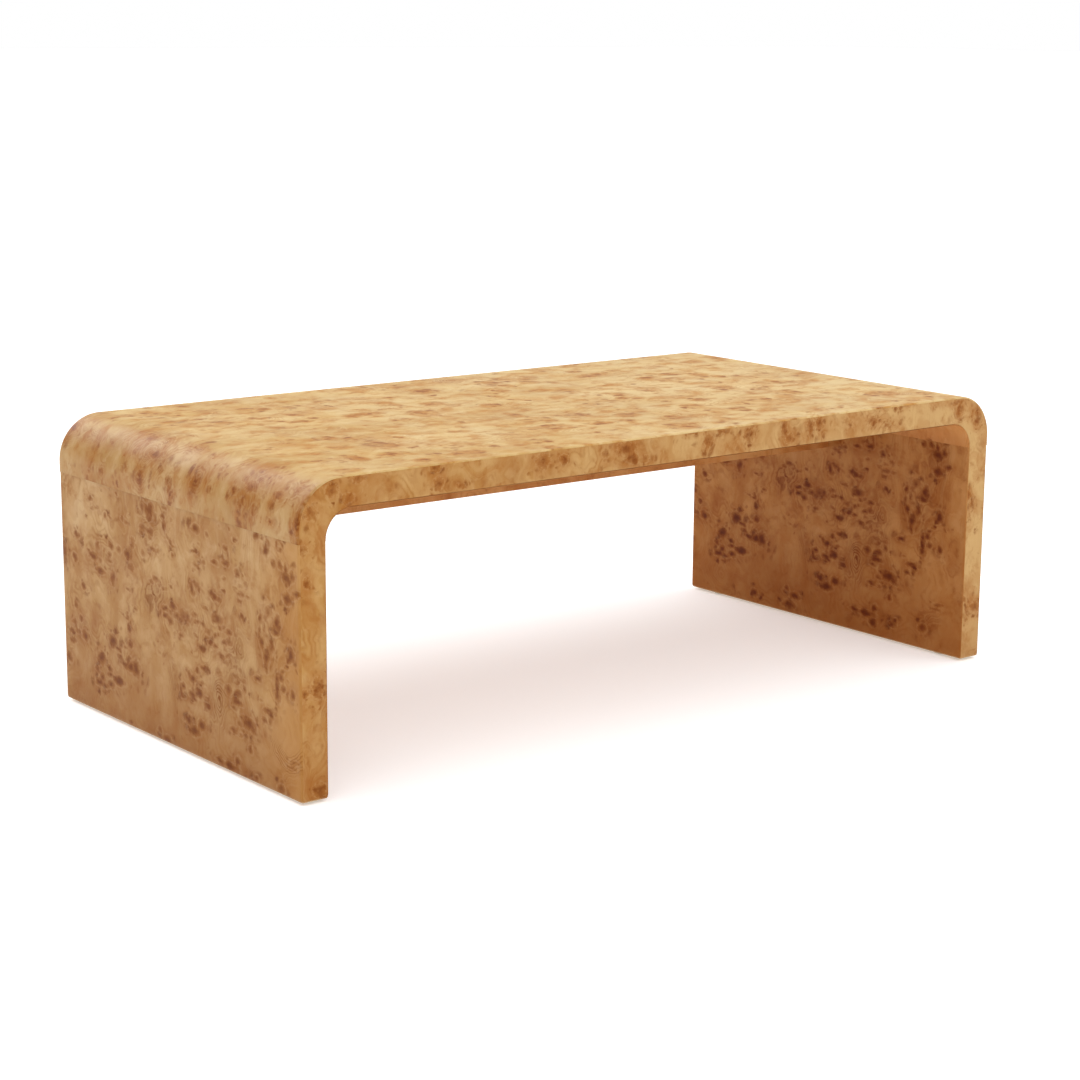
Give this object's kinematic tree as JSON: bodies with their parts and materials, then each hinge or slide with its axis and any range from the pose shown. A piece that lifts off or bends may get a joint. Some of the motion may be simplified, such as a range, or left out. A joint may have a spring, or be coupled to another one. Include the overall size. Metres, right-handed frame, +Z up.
{
  "type": "waterfall coffee table",
  "caption": "Low rectangular coffee table whose flat top turns down through rounded corners into full-depth slab legs, with a stiffening rail under the top, veneered all over in burl.",
  "frame": {"origin": "on the floor, under the middle of the top", "axes": "+X along the table's length, +Y from its front to its back, +Z up"},
  "size_m": [1.219, 0.61, 0.406],
  "materials": {
    "burl_veneer": "satin lacquer",
    "plywood": "raw",
    "frame_timber": "raw",
    "beech": "raw",
    "nylon": "matt",
    "nail_steel": "bright"
  },
  "bodies": {
    "root": {"centre_rail_core": "frame_timber", "centre_rail_front_veneer": "burl_veneer", "centre_rail_lower_veneer": "burl_veneer", "centre_rail_rear_veneer": "burl_veneer", "glide_nails": "nail_steel", "glide_pads": "nylon", "joint_tongues": "plywood", "left_corner_cove_veneer": "burl_veneer", "left_corner_formers": "plywood", "left_corner_front_edge_veneer": "burl_veneer", "left_corner_inner_skin": "plywood", "left_corner_leg_batten": "frame_timber", "left_corner_outer_skin": "plywood", "left_corner_rear_edge_veneer": "burl_veneer", "left_corner_top_batten": "frame_timber", "left_leg_centre_stile": "frame_timber", "left_leg_foot_rail": "frame_timber", "left_leg_front_edge_veneer": "burl_veneer", "left_leg_front_stile": "frame_timber", "left_leg_head_rail": "frame_timber", "left_leg_inner_skin": "plywood", "left_leg_inner_veneer": "burl_veneer", "left_leg_outer_skin": "plywood", "left_leg_outer_veneer": "burl_veneer", "left_leg_rear_edge_veneer": "burl_veneer", "left_leg_rear_stile": "frame_timber", "rail_dowels": "beech", "rail_end_tongues": "plywood", "right_corner_cove_veneer": "burl_veneer", "right_corner_formers": "plywood", "right_corner_front_edge_veneer": "burl_veneer", "right_corner_inner_skin": "plywood", "right_corner_leg_batten": "frame_timber", "right_corner_outer_skin": "plywood", "right_corner_rear_edge_veneer": "burl_veneer", "right_corner_top_batten": "frame_timber", "right_leg_centre_stile": "frame_timber", "right_leg_foot_rail": "frame_timber", "right_leg_front_edge_veneer": "burl_veneer", "right_leg_front_stile": "frame_timber", "right_leg_head_rail": "frame_timber", "right_leg_inner_skin": "plywood", "right_leg_inner_veneer": "burl_veneer", "right_leg_outer_skin": "plywood", "right_leg_outer_veneer": "burl_veneer", "right_leg_rear_edge_veneer": "burl_veneer", "right_leg_rear_stile": "frame_timber", "top_centre_spine": "frame_timber", "top_cross_ribs": "frame_timber", "top_front_edge_veneer": "burl_veneer", "top_front_rail": "frame_timber", "top_inner_skin": "plywood", "top_left_end_rail": "frame_timber", "top_outer_skin": "plywood", "top_rear_edge_veneer": "burl_veneer", "top_rear_rail": "frame_timber", "top_right_end_rail": "frame_timber", "top_underside_veneer": "burl_veneer", "waterfall_face_veneer": "burl_veneer"}
  },
  "joints": []
}
